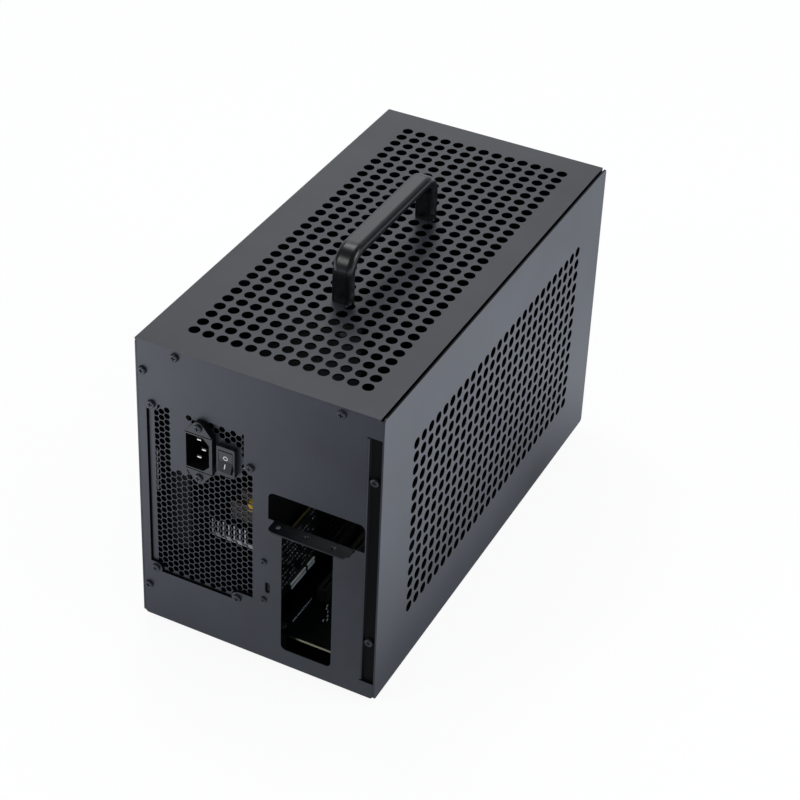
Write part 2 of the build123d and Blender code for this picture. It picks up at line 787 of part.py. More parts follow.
def inlet_socket():
    """Moulded mains inlet with a flange, a deep mouth and a body inside the case."""
    face = psu_rear - inlet_proud
    socket = upright(inlet_outline(), face, psu_rear - play)
    body = Pos(*inlet_centre) * Rectangle(*inlet_inner)
    socket += upright(body, psu_rear - play, psu_rear + inlet_inside)
    socket -= upright(inlet_mouth_outline(), face - 1, face + inlet_mouth_depth)
    for z in (inlet_centre[1] - inlet_body[1] / 2, inlet_centre[1] + inlet_body[1] / 2):
        half = inlet_groove / 2
        socket -= block(psu_x, (face - 1, face + inlet_groove), (z - half, z + half))
    socket -= [rod((x, face - 1, z), (0, 1, 0), 12, screw_hole) for x, z in inlet_screw_places()]
    for x, z in pin_places():
        slot = Pos(x, z) * Rectangle(pin_size[0] + 2 * play, pin_size[1] + 2 * play)
        socket -= upright(slot, face + pin_recess, psu_rear + inlet_inside + 1)
    return socket


def pin_places():
    """Two line pins and the earth pin."""
    x, z = inlet_centre
    return [(x + line_pin_x, z + pin_pitch / 2), (x + line_pin_x, z - pin_pitch / 2), (x + earth_pin_x, z)]


def inlet_pins():
    """Flat pins with bevelled tips, which go through the socket's floor and end as solder tags."""
    start = psu_rear - inlet_proud + pin_recess
    pin = upright(Rectangle(*pin_size), start, psu_rear + inlet_inside + pin_tag)
    pin = chamfer(pin.edges().group_by(Axis.Y)[0], pin_tip)
    return group(Pos(x, 0, z) * pin for x, z in pin_places())


def inlet_screws():
    screw = pan_screw(screw_radius, 9.0, inlet_screw_head_radius, inlet_screw_head)
    face = psu_rear - inlet_proud
    return group(facing(x, face, z, "-Y") * screw for x, z in inlet_screw_places())


def switch_frame():
    """Moulded frame of the rocker switch, with its body inside the case and pivot holes in its cheeks."""
    x, z = switch_centre
    face = psu_rear - switch_proud
    flange = Pos(x, z) * RectangleRounded(*switch_frame_size, 1.0)
    frame = upright(flange, face, psu_rear - play)
    body = Pos(x, z) * Rectangle(*switch_inner)
    frame += upright(body, psu_rear - play, psu_rear + switch_inside)
    floor = psu_rear + switch_inside - switch_floor
    frame -= upright(Pos(x, z) * Rectangle(*switch_mouth), face - 1, floor)
    half = switch_mouth[0] / 2 + pivot_reach + 2 * play
    frame -= rod((x - half, face + pivot_depth, z), (1, 0, 0), 2 * half, pivot_radius + pivot_play)
    return frame


def switch_rocker():
    """Rocker with a shallow valley across its face, tilted with its upper half pressed in."""
    x, z = switch_centre
    face = psu_rear - switch_proud
    half = rocker_half
    foot, depth_in = rocker_foot
    profile = [(half, rocker_rise), (0, -rocker_valley), (-half, rocker_rise), (-half, -rocker_edge)]
    profile += [(-foot, -depth_in), (foot, -depth_in), (half, -rocker_edge)]
    shape = make_face(Polyline(*[(face - out, z + along) for along, out in profile], close=True))
    key = sideways(shape, x - rocker_width / 2, x + rocker_width / 2)
    reach = switch_mouth[0] / 2 + pivot_reach
    key += rod((x - reach, face + pivot_depth, z), (1, 0, 0), 2 * reach, pivot_radius)
    return key.rotate(Axis((x, face + pivot_depth, z), (1, 0, 0)), -rocker_tilt)


def psu_post_places():
    ys = (psu_board_y[0] + psu_post_inset, psu_board_y[1] - psu_post_inset)
    zs = (psu_board_z[0] + psu_post_inset, psu_board_z[1] - psu_post_inset)
    return [(y, z) for y in ys for z in zs]


def psu_board():
    """Circuit board of the power supply, upright beside its right side."""
    plate = block(psu_board_x, psu_board_y, psu_board_z)
    start = psu_board_x[0] - 1
    return plate - [rod((start, y, z), (1, 0, 0), 4, post_pin + 0.1) for y, z in psu_post_places()]


def psu_standoffs():
    """Stepped posts that hold the board off the case."""
    posts = []
    for y, z in psu_post_places():
        post = rod((psu_board_x[1] + play, y, z), (1, 0, 0), psu_post - 2 * play, post_radius)
        posts.append(post + rod((psu_board_x[0] - 1.0, y, z), (1, 0, 0), 4.0, post_pin))
    return group(posts)


def psu_transformer():
    """Wound transformer between two core halves."""
    place = Pos(part_face, psu_rear + 46.0, psu_z[0] + 52.0)
    out, long, tall = transformer_core
    core = block((-out, 0), (-long / 2, long / 2), (-tall / 2, tall / 2))
    low, high, long, tall = transformer_winding
    winding = block((-high, -low), (-long / 2, long / 2), (-tall / 2, tall / 2))
    return place * (core + fillet(winding.edges().filter_by(Axis.X), 5.0))


def psu_film_capacitor():
    """Boxed film capacitor close behind the pierced face."""
    out, long, tall = film_capacitor
    box = block((-out, 0), (0, long), (0, tall))
    return Pos(part_face, *film_capacitor_place) * fillet(box.edges().filter_by(Axis.X), 0.8)


def psu_heatsinks():
    """Two aluminium combs that stand on the board, their fins in line with the air from the rear face."""
    combs = []
    fin_step = (comb_reach - comb_root - comb_fin) / (comb_fins - 1)
    for z in comb_z:
        comb = block((part_face - comb_reach, part_face), comb_y, (z, z + comb_plate))
        for i in range(comb_fins):
            x = part_face - comb_reach + i * fin_step
            comb += block((x, x + comb_fin), comb_y, (z, z + comb_plate + comb_fin_height))
        combs.append(comb)
    return group(combs)


def psu_capacitors():
    """Two mains capacitors and a row of small ones, lying out from the board."""
    places = [(psu_rear + 78.0, psu_z[0] + 50.0, 11.0, 34.0), (psu_rear + 102.0, psu_z[0] + 50.0, 11.0, 34.0)]
    places += [(psu_rear + 112.0, psu_z[0] + 74.0 + 12.0 * i, 5.0, 22.0) for i in range(3)]
    cans = []
    for y, z, radius, length in places:
        can = rod((part_face, y, z), (-1, 0, 0), length, radius)
        cans.append(fillet(can.edges().group_by(Axis.X)[0], 1.2))
    return group(cans)


def psu_choke():
    """Ring core choke, standing on edge on the board."""
    out = sum(choke_radii) + 0.2
    return Pos(part_face - out, psu_rear + 122.0, psu_z[0] + 30.0) * Rot(90, 0, 0) * Torus(*choke_radii)


def psu_grommet():
    """Plastic bush for the lead in the power supply's front."""
    x, z = grommet_place()
    bush = rod((x, psu_front - 4.0, z), (0, 1, 0), 5.0, grommet_hole - 0.1)
    bush += rod((x, psu_front + play, z), (0, 1, 0), 2.0, grommet_rim)
    return bush - rod((x, psu_front - 5.0, z), (0, 1, 0), 10.0, lead_radius + play)


def dock_bracket():
    """Angle screwed behind the rear wall, whose arm carries the upright board."""
    y0 = wall_inside + play
    line = [(arm_x, y0 + arm_length), (arm_x, y0), (arm_flange_x, y0)]
    angle = Pos(0, 0, arm_z[0]) * extrude(folded(line, sheet, clip_bend), arm_z[1] - arm_z[0])
    angle -= block((arm_x - 1, arm_x + 2), (y0 + 6, y0 + arm_length + 1), (arm_top, arm_z[1] + 1))
    angle -= upright(port_slot(port_gap), rear, rear + 5)
    thread = small_screw_radius + 2 * play
    angle -= [rod((port_screw_x, rear, z), (0, 1, 0), 5, thread) for z in port_screw_z]
    return angle - [rod((arm_x - 1, y, z), (1, 0, 0), 4, thread) for y, z in dock_hole_places()]


def dock_hole_places():
    return [(y, z) for y in dock_hole_y for z in dock_hole_z]


def port_screws():
    return group(facing(port_screw_x, rear, z, "-Y") * small_screw(5.0) for z in port_screw_z)


def dock_board():
    """Upright circuit board with a tongue under the port."""
    span = (dock_x, dock_x + board)
    plate = block(span, dock_y, dock_z)
    plate += block(span, (wall_inside + 2.0, dock_y[0] + 1), dock_tongue_z)
    return plate - [rod((dock_x - 1, y, z), (1, 0, 0), 4, small_screw_hole) for y, z in dock_hole_places()]


def dock_standoffs():
    sleeves = []
    for y, z in dock_hole_places():
        start = (arm_x + sheet + play, y, z)
        sleeve = rod(start, (1, 0, 0), dock_x - arm_x - sheet - 2 * play, sleeve_radius)
        sleeves.append(sleeve - rod((arm_x, y, z), (1, 0, 0), 6, small_screw_hole))
    return group(sleeves)


def dock_board_screws():
    return group(facing(dock_x + board, y, z, "+X") * small_screw(5.2) for y, z in dock_hole_places())


def dock_heatsink():
    """Finned block over the controller chip."""
    low, high = dock_sink_z
    sink = block((dock_face, dock_face + dock_sink_base), dock_sink_y, dock_sink_z)
    for i in range(dock_sink_fins):
        z = low + i * (high - low - dock_sink_fin) / (dock_sink_fins - 1)
        sink += block((dock_face, dock_face + dock_sink_height), dock_sink_y, (z, z + dock_sink_fin))
    return sink


def usb_c_port():
    """Metal shell of the data port with its inner tongue."""
    y0 = rear + 0.2
    shell = upright(port_slot(0.0), y0, y0 + port_length)
    shell -= upright(port_slot(-port_wall), y0 - 1, y0 + port_length - 1.5)
    x = dock_x + board + port_size[0] / 2
    tongue = upright(Pos(x, port_z) * Rectangle(*port_tongue), y0 + 0.8, y0 + port_length - 1)
    return Pos(play, 0, 0) * (shell + tongue)


def dock_link_socket():
    """Socket of the flat link cable on the upright board."""
    span = (link_z - link_socket_half, link_z + link_socket_half)
    return block((dock_face, dock_face + link_socket_height), link_y, span)


def slot_link_socket():
    """Socket of the flat link cable on the level board."""
    low = slot_board_top + play
    span = (link_x - link_socket_half, link_x + link_socket_half)
    return block(span, link_y, (low, low + link_socket_height))


def link_ribbon():
    """Flat cable from one socket up and over into the other."""
    y = (link_y[0] + 1.5, link_y[1] - 1.5)
    low = (link_x + ribbon / 2, slot_board_top + link_socket_height + 2 * play)
    high = (dock_face + link_socket_height + play, link_z + ribbon / 2)
    return upright(folded([low, (low[0], high[1]), high], ribbon, ribbon_bend), *y)


def power_header():
    """Board connector for the power lead."""
    return block((dock_face, dock_face + header_height), (header_end - header_length, header_end), header_z)


def power_plug():
    """Plug of the power lead, pushed onto the header."""
    low, high = dock_face + 0.6, dock_face + header_height - 0.6
    start = header_end + play
    body = block((low, high), (start, start + plug_length), (header_z[0] + 0.6, header_z[1] - 0.6))
    latch_z = (header_z[0] + 5.0, header_z[1] - 5.0)
    return body + block((high, high + 1.2), (start + 1.0, start + 10.0), latch_z)


def power_lead():
    """Sleeved lead from the power supply's front to the plug, in one wide turn."""
    x0, z = grommet_place()
    x1 = dock_face + header_height / 2
    y0 = psu_front - 4.0
    y1 = header_end + plug_length + 2 * play
    far = psu_front + 34.0
    path = FilletPolyline((x0, y0, z), (x0, far, z), (x1, far, z), (x1, y1, z), radius=(x1 - x0) / 2 - 0.1)
    section = Plane((x0, y0, z), z_dir=(0, 1, 0)) * Circle(lead_radius)
    return sweep(section, path)


def slot_board():
    """Level circuit board under the card."""
    plate = block(slot_board_x, slot_board_y, (slot_board_top - board, slot_board_top))
    start = slot_board_top - 2 * board
    return plate - [rod((x, y, start), (0, 0, 1), 3 * board, screw_hole) for x, y in slot_hole_places()]


def slot_hole_places():
    return [(x, y) for x in slot_hole_x for y in slot_hole_y]


def slot_board_standoffs():
    """Threaded posts pressed into the floor."""
    posts = []
    top = slot_board_top - board - play
    for x, y in slot_hole_places():
        post = rod((x, y, floor_top + play), (0, 0, 1), top - floor_top - play, post_radius)
        post += rod((x, y, foot_height), (0, 0, 1), sheet + 0.5, post_spigot)
        posts.append(post - rod((x, y, top - 9.0), (0, 0, 1), 10, screw_hole))
    return group(posts)


def slot_board_screws():
    return group(facing(x, y, slot_board_top, "+Z") * case_screw() for x, y in slot_hole_places())


def pcie_slot():
    """Card slot with a keyed groove, and two ears for the latch at its front end."""
    half = slot_width / 2
    low = slot_board_top + play
    body = block((slot_x - half, slot_x + half), slot_y, (low, low + slot_height))
    groove = [(slot_y[0] + 2.0, slot_key_y[0]), (slot_key_y[1], slot_y[1] - 2.0)]
    for span in groove:
        x = (slot_x - slot_groove[0] / 2, slot_x + slot_groove[0] / 2)
        body -= block(x, span, (low + slot_height - slot_groove[1], low + slot_height + 1))
    for x in (slot_x - half, slot_x + half - slot_ear):
        ear_y = (slot_y[1], slot_y[1] + slot_ear_length)
        body += block((x, x + slot_ear), ear_y, (low, low + slot_ear_height))
    pivot = (slot_x - half - 1, latch_axis_y, latch_axis_z)
    return body - rod(pivot, (1, 0, 0), slot_width + 2, pivot_radius + pivot_play)


def slot_latch():
    """Hook that holds the card's tail, on a pin between the slot's ears."""
    half = slot_width / 2 - slot_ear - latch_side_play
    low = slot_board_top + 1.6
    top = slot_board_top + slot_height + 4.0
    y = slot_y[1] + 0.8
    outline = [(y + 1.2, low), (y + 5.0, low), (y + 5.0, top - 4), (y + 9.0, top - 2), (y + 9.0, top)]
    outline += [(y - 1.6, top), (y - 1.6, top - 2.4), (y + 1.2, top - 3.4)]
    shape = make_face(Polyline(*outline, close=True))
    latch = sideways(shape, slot_x - half, slot_x + half)
    reach = slot_width / 2 - latch_side_play
    return latch + rod((slot_x - reach, latch_axis_y, latch_axis_z), (1, 0, 0), 2 * reach, pivot_radius)


nodes = {
    "chassis": chassis,
    "rear_wall": rear_wall,
    "card_shelf": card_shelf,
    "top_panel": top_panel,
    "left_panel": lambda: side_panel(left, height - sheet - play, fan_holes, (fan_y, fan_z)),
    "right_panel": lambda: side_panel(right - sheet, height, side_holes, side_grid_centre),
    "top_panel_clips": top_panel_clips,
    "left_panel_clips": left_panel_clips,
    "right_panel_clips": right_panel_clips,
    "rear_panel_screws": rear_panel_screws,
    "front_panel_screws": front_panel_screws,
    "carry_handle": carry_handle,
    "handle_screws": handle_screws,
    "rubber_feet": rubber_feet,
    "psu_gasket": psu_gasket,
    "psu_mount_screws": psu_mount_screws,
    "psu_case": psu_case,
    "psu_cover": psu_cover,
    "psu_cover_screws": psu_cover_screws,
    "psu_fan_frame": psu_fan_frame,
    "psu_fan_rotor": psu_fan_rotor,
    "psu_fan_guard": psu_fan_guard,
    "psu_fan_screws": psu_fan_screws,
    "inlet_socket": inlet_socket,
    "inlet_pins": inlet_pins,
    "inlet_screws": inlet_screws,
    "switch_frame": switch_frame,
    "switch_rocker": switch_rocker,
    "psu_board": psu_board,
    "psu_standoffs": psu_standoffs,
    "psu_transformer": psu_transformer,
    "psu_film_capacitor": psu_film_capacitor,
    "psu_heatsinks": psu_heatsinks,
    "psu_capacitors": psu_capacitors,
    "psu_choke": psu_choke,
    "psu_grommet": psu_grommet,
    "dock_bracket": dock_bracket,
    "port_screws": port_screws,
    "dock_board": dock_board,
    "dock_standoffs": dock_standoffs,
    "dock_board_screws": dock_board_screws,
    "dock_heatsink": dock_heatsink,
    "usb_c_port": usb_c_port,
    "dock_link_socket": dock_link_socket,
    "slot_link_socket": slot_link_socket,
    "link_ribbon": link_ribbon,
    "power_header": power_header,
    "power_plug": power_plug,
    "power_lead": power_lead,
    "slot_board": slot_board,
    "slot_board_standoffs": slot_board_standoffs,
    "slot_board_screws": slot_board_screws,
    "pcie_slot": pcie_slot,
    "slot_latch": slot_latch,
}

os.makedirs("parts", exist_ok=True)
for name, make in nodes.items():
    export_step(make(), f"parts/{name}.step")
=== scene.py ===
import math
import random

import bmesh
import bpy
from mathutils import Matrix, Vector


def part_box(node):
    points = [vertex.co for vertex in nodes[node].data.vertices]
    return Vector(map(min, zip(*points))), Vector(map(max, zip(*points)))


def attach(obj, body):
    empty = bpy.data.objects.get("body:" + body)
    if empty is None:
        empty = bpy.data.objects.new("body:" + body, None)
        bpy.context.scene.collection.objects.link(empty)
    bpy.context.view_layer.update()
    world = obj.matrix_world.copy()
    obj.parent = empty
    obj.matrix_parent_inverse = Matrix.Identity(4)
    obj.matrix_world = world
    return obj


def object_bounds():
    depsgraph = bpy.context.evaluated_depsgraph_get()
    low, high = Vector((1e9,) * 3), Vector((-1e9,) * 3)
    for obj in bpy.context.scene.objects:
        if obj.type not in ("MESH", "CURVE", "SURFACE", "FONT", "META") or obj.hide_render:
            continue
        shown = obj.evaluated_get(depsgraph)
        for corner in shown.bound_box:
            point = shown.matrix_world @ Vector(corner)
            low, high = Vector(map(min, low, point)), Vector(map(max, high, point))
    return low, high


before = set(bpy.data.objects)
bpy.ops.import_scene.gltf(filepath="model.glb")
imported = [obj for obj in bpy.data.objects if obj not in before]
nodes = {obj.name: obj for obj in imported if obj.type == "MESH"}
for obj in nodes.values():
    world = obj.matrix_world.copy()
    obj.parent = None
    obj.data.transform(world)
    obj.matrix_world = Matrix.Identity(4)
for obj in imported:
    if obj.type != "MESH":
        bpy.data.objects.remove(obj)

cad_low, cad_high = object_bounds()
mm = 0.001

# Chassis, rear wall, card shelf, flat panels and their welded angles: steel sheet, punched, folded and welded.
# The outer faces are powder-coated, which bakes to a fine dark grain, almost black face on and paler at a slant.
# The inner faces, the walls of the holes, the angles and any face set back from the outer face keep a black primer
# that hardly reflects; it is partly a real primer and partly painted shade, darkening the inside, the hole walls and
# the recesses.


def linear(code):
    """Linear colour of an sRGB hex code."""
    parts = [int(code[i:i + 2], 16) / 255 for i in (1, 3, 5)]
    return (*[p / 12.92 if p <= 0.04045 else ((p + 0.055) / 1.055) ** 2.4 for p in parts], 1.0)


def put(material, kind, inputs, **settings):
    """Adds a node, or takes the material's shader or the room's background, and sets or links its inputs."""
    tree = material.node_tree
    own = {"shader": "Principled BSDF", "room": "Background"}
    node = tree.nodes[own[kind]] if kind in own else tree.nodes.new(kind)
    for name, value in settings.items():
        setattr(node, name, value)
    for key, value in inputs.items():
        if isinstance(value, bpy.types.NodeSocket):
            tree.links.new(value, node.inputs[key])
        else:
            node.inputs[key].default_value = value
    return node


def finish(name, dark, light, grain, rough, relief, **plain):
    """Mottled finish: two close colours, roughness and bump that follow a grain of a real size."""
    broad_patch = 40 * mm
    rough_spread = 0.05
    material = bpy.data.materials.new(name)
    material.use_nodes = True
    place = put(material, "ShaderNodeTexCoord", {}).outputs["Object"]
    fine = put(material, "ShaderNodeTexNoise",
               {"Vector": place, "Scale": 1 / grain, "Detail": 3.0, "Roughness": 0.6})
    broad = put(material, "ShaderNodeTexNoise", {"Vector": place, "Scale": 1 / broad_patch, "Detail": 2.0})
    blend = put(material, "ShaderNodeMath", {0: fine.outputs[0], 1: broad.outputs[0]}, operation="MULTIPLY")
    spread = put(material, "ShaderNodeMapRange", {"Value": blend.outputs[0], "From Min": 0.12, "From Max": 0.4})
    tint = put(material, "ShaderNodeMix", {0: spread.outputs[0], 6: linear(dark), 7: linear(light)},
               data_type="RGBA")
    gloss = put(material, "ShaderNodeMapRange",
                {"Value": fine.outputs[0], "From Min": 0.3, "From Max": 0.7,
                 "To Min": rough - rough_spread, "To Max": rough + rough_spread})
    bump = put(material, "ShaderNodeBump", {"Height": fine.outputs[0], "Strength": 0.5, "Distance": relief})
    put(material, "shader", {"Base Color": tint.outputs[2], "Roughness": gloss.outputs[0],
                             "Normal": bump.outputs[0],
                             **{key.replace("_", " "): value for key, value in plain.items()}})
    return material


def share_along(material, source, axis, low, high):
    """Share from 0 to 1 between two values of a surface's place or direction along one axis."""
    split = put(material, "ShaderNodeSeparateXYZ", {0: put(material, "ShaderNodeTexCoord", {}).outputs[source]})
    span = {"Value": split.outputs[axis], "From Min": low, "From Max": high}
    return put(material, "ShaderNodeMapRange", span).outputs[0]


def repaint(material, share, code, sheen):
    """Fades a finish to another colour and sheen."""
    own = material.node_tree.nodes["Principled BSDF"].inputs
    colours = {0: share, 6: own["Base Color"].links[0].from_socket, 7: linear(code)}
    tint = put(material, "ShaderNodeMix", colours, data_type="RGBA")
    levels = {"Value": share, "To Min": own["Specular IOR Level"].default_value, "To Max": sheen}
    level = put(material, "ShaderNodeMapRange", levels)
    put(material, "shader", {"Base Color": tint.outputs[2], "Specular IOR Level": level.outputs[0]})


# The coat's real grain is 0.3 mm: it is drawn three times as coarse so that it shows.
coat_grain = 0.9 * mm
primer_and_painted_shade_sheen = 0.06


def coat(name, axis, outside, inside, cut_edge_end=-200.0):
    """Powder coat on a sheet's outer face and its rear cut edge, and from a depth in mm inwards black primer that is
    painted shade.
    """
    cut_edge_fade = 2
    material = finish(name, "#1b1e24", "#272b33", coat_grain, 0.42, 0.05 * mm)
    below = share_along(material, "Object", axis, outside * mm, inside * mm)
    past_edge = share_along(material, "Object", 1, cut_edge_end * mm, (cut_edge_end + cut_edge_fade) * mm)
    # Painted shade: faces deeper than the outer face, away from the rear cut edge, turn to near-black primer.
    primer_as_painted_shade = put(material, "ShaderNodeMath", {0: below, 1: past_edge}, operation="MULTIPLY")
    repaint(material, primer_as_painted_shade.outputs[0], "#060607", primer_and_painted_shade_sheen)
    return material


def dress(material, *names):
    """Gives solids of the frame their finish."""
    for name in names:
        for slot in nodes[name].material_slots:
            slot.material = material


primer = finish("black_primer", "#040405", "#070708", coat_grain, 0.5, 0.03 * mm, Specular_IOR_Level=primer_and_painted_shade_sheen)
dress(primer, "top_panel_clips", "left_panel_clips", "right_panel_clips")
rear_edge = -171.0
dress(coat("powder_coat_floor_and_front", axis=1, outside=181.2, inside=180.9), "chassis")
dress(coat("powder_coat_top", axis=2, outside=234.97, inside=234.85, cut_edge_end=rear_edge), "top_panel")
dress(coat("powder_coat_left", axis=0, outside=-89.97, inside=-89.85, cut_edge_end=rear_edge), "left_panel")
dress(coat("powder_coat_right", axis=0, outside=89.97, inside=89.85, cut_edge_end=rear_edge), "right_panel")
dress(coat("powder_coat_rear", axis=1, outside=-172.9, inside=-172.6), "rear_wall")
# Painted shade: the card shelf is near-black primer, darker than the coat, for the shade on it inside the opening.
shelf_primer_painted_shade = finish("black_primer_shelf_painted_shade", "#0b0c0e", "#131518", coat_grain, 0.34, 0.03 * mm, Specular_IOR_Level=0.3)
dress(shelf_primer_painted_shade, "card_shelf")

# Carry handle: a bent aluminium bar, anodised black to an even satin sheen that draws long soft lights.
# It stands on two screws that come up through the top panel.
satin = finish("satin_black_anodised_aluminium", "#0b0c0d", "#0e0f11", 0.5 * mm, 0.3, 0.0004 * mm)
dress(satin, "carry_handle")

# Screws and spacers: steel, the screws headed cold with a cross recess. Black zinc gives the heads that show a dark
# grey sheen, and bright zinc glints on the few that hold the upright board.
black_zinc = finish("black_zinc_plated_steel", "#22252a", "#30343a", 0.8 * mm, 0.38, 0.01 * mm, Metallic=0.25)
bright_zinc = finish("bright_zinc_plated_steel", "#b9bcc0", "#d3d6d8", 0.8 * mm, 0.28, 0.01 * mm, Metallic=1.0)
dress(black_zinc, "rear_panel_screws", "front_panel_screws", "psu_mount_screws", "inlet_screws", "psu_fan_screws")
dress(black_zinc, "port_screws", "handle_screws", "psu_cover_screws", "slot_board_screws", "slot_board_standoffs")
dress(bright_zinc, "dock_board_screws")

# Rubber feet: moulded black discs under the floor, matt all over.
# They lift the case a little off the table, so it throws a dark line of shade.
dress(finish("moulded_black_rubber", "#111111", "#1a1a1a", 0.6 * mm, 0.75, 0.05 * mm), "rubber_feet")

# Power supply case: thin steel, coated on the face that shows in the wall's opening and matt black elsewhere.
# A black foam seal lies between the two and shows as a dark line.
# Painted shade here too: the face's hole walls and the inner faces take the near-black primer.
dress(coat("powder_coat_supply_face", axis=1, outside=-171.15, inside=-170.95), "psu_case")
dress(primer, "psu_cover")
foam = finish("closed_cell_black_foam", "#030303", "#070707", 0.7 * mm, 0.95, 0.1 * mm, Specular_IOR_Level=0.1)
dress(foam, "psu_gasket")

# Mains inlet and switch: glass-filled nylon, moulded black with a dull gloss, and nickel-plated pins whose sides are
# painted dark as painted shade, so that only their ends shine. The rocker carries a ring and a bar, pad-printed in
# white.
nylon = finish("moulded_black_nylon", "#0d0d0e", "#151517", 0.8 * mm, 0.36, 0.02 * mm)
dress(nylon, "inlet_socket", "switch_frame", "switch_rocker")
nickel = finish("nickel_plated_brass_with_painted_shade", "#c4c1b9", "#d8d5cd", 1.0 * mm, 0.25, 0.005 * mm, Metallic=1.0)
# Painted shade: every face of the pins but their rear-facing ends turns dark.
repaint(nickel, share_along(nickel, "Normal", 1, -0.95, -0.8), "#24231f", 0.2)
dress(nickel, "inlet_pins")


def piece(name, bm, material, body):
    """Makes a finished mesh an object that rides on a body."""
    mesh = bpy.data.meshes.new(name)
    bm.to_mesh(mesh)
    bm.free()
    mesh.materials.append(material)
    obj = bpy.data.objects.new(name, mesh)
    bpy.context.scene.collection.objects.link(obj)
    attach(obj, body)


ink = finish("white_pad_print", "#d8d8d6", "#ececea", 0.5 * mm, 0.5, 0.005 * mm)
rocker_tilt = math.radians(-8)
rocker_face_angle = math.atan2(1.4, 7.4)
rocker_pivot = Vector((-21.9, -171.35, 162.0)) * mm
valley_out = 3.8 * mm
print_lift = 0.05 * mm


def on_rocker(along, side):
    """Place on the upper or lower half of the rocker's face, for a flat mark."""
    tilt = Matrix.Translation(rocker_pivot) @ Matrix.Rotation(rocker_tilt, 4, "X")
    lean = Matrix.Rotation(math.radians(90) + side * rocker_face_angle, 4, "X")
    return tilt @ Matrix.Translation((0, -valley_out, 0)) @ lean @ Matrix.Translation((0, along, print_lift))


ring_radius, ring_line, ring_up = 1.7 * mm, 0.6 * mm, 2.5 * mm
stroke_wide, stroke_high, stroke_down = 0.7 * mm, 3.2 * mm, -3.6 * mm
marks = bmesh.new()
bmesh.ops.create_circle(marks, cap_ends=True, radius=ring_radius, segments=32)
bmesh.ops.inset_region(marks, faces=marks.faces[:], use_boundary=True, use_even_offset=True, thickness=ring_line)
bmesh.ops.delete(marks, geom=[f for f in marks.faces if len(f.verts) > 4], context="FACES")
bmesh.ops.transform(marks, matrix=on_rocker(ring_up, 1), verts=marks.verts)
before = set(marks.verts)
bmesh.ops.create_grid(marks, x_segments=1, y_segments=1, size=0.5)
stroke = [v for v in marks.verts if v not in before]
stroke_size = Matrix.Diagonal((stroke_wide, stroke_high, 1, 1))
bmesh.ops.transform(marks, matrix=on_rocker(stroke_down, -1) @ stroke_size, verts=stroke)
piece("rocker_marks", marks, ink, "rocker")

# Fan: a frame and rotor moulded in matt black, behind a stamped and plated finger guard.
# A white insulated wire runs up beside the frame, next to the honeycomb face.
pbt = finish("moulded_black_pbt", "#050505", "#0a0a0b", 1.0 * mm, 0.5, 0.02 * mm, Specular_IOR_Level=0.15)
dress(pbt, "psu_fan_frame", "psu_fan_rotor", "psu_grommet")
dress(bright_zinc, "psu_fan_guard")
wire_radius, wire_length = 0.6 * mm, 34 * mm
wire_middle = Vector((-79.4, -167.2, 129.0)) * mm
fan_wire = bmesh.new()
bmesh.ops.create_cone(fan_wire, cap_ends=True, segments=16, radius1=wire_radius, radius2=wire_radius,
                      depth=wire_length, matrix=Matrix.Translation(wire_middle))
white_pvc = finish("white_pvc_insulation", "#d5d5d2", "#ecece9", 1.0 * mm, 0.4, 0.01 * mm)
piece("fan_wire", fan_wire, white_pvc, "enclosure")

# Inside the power supply: a bare laminate board on brass posts, with a taped transformer, finned combs, sleeved
# capacitors, a yellow moulded box and a wound ring. They show only as glints through the honeycomb; the combs' glints
# are painted.
laminate = finish("bare_paper_laminate", "#8a6a35", "#a5824a", 3.0 * mm, 0.6, 0.01 * mm)
dress(laminate, "psu_board")
brass = finish("turned_brass", "#b99a55", "#cfb06a", 1.0 * mm, 0.3, 0.005 * mm, Metallic=1.0)
dress(brass, "psu_standoffs", "dock_standoffs")
dress(finish("dark_polyester_tape", "#2a1d0c", "#3a2a12", 2.0 * mm, 0.35, 0.02 * mm), "psu_transformer")
dress(finish("yellow_moulded_epoxy", "#d2a512", "#e8bd22", 1.0 * mm, 0.4, 0.02 * mm), "psu_film_capacitor")
# Painted glints and painted shade: the fin faces turned to the rear are white, all other faces dark.
fin_metal_with_painted_glints = finish("fins_with_painted_glints_and_shade", "#dfe1e3", "#f2f3f4", 1.2 * mm, 0.4, 0.01 * mm)
repaint(fin_metal_with_painted_glints, share_along(fin_metal_with_painted_glints, "Normal", 1, -0.8, -0.5), "#0a0a0b", 0.1)
dress(fin_metal_with_painted_glints, "psu_heatsinks")
sleeve = finish("shrunk_pvc_sleeve", "#10131c", "#1a1f2c", 1.5 * mm, 0.3, 0.01 * mm)
dress(sleeve, "psu_capacitors")
enamel = finish("enamelled_copper_winding", "#7a3d18", "#a85a28", 0.9 * mm, 0.3, 0.2 * mm, Metallic=0.8)
dress(enamel, "psu_choke")

# Upright board behind the data port: dark solder-masked laminate, bare at its upper edge, on a blackened angle.
# Small parts are soldered on its open side, with a black finned block over the controller and a long edge socket
# whose pale lip catches the light.
dock_mask = finish("dark_solder_mask_upright", "#020505", "#050c0b", 1.4 * mm, 0.4, 0.02 * mm,
                   Specular_IOR_Level=0.2)
repaint(dock_mask, share_along(dock_mask, "Normal", 2, 0.4, 0.6), "#5f5530", 0.3)
dress(dock_mask, "dock_board")
dress(black_zinc, "dock_bracket")
black_fins = finish("black_anodised_fins", "#050506", "#0a0a0b", 1.2 * mm, 0.4, 0.01 * mm, Specular_IOR_Level=0.15)
dress(black_fins, "dock_heatsink")
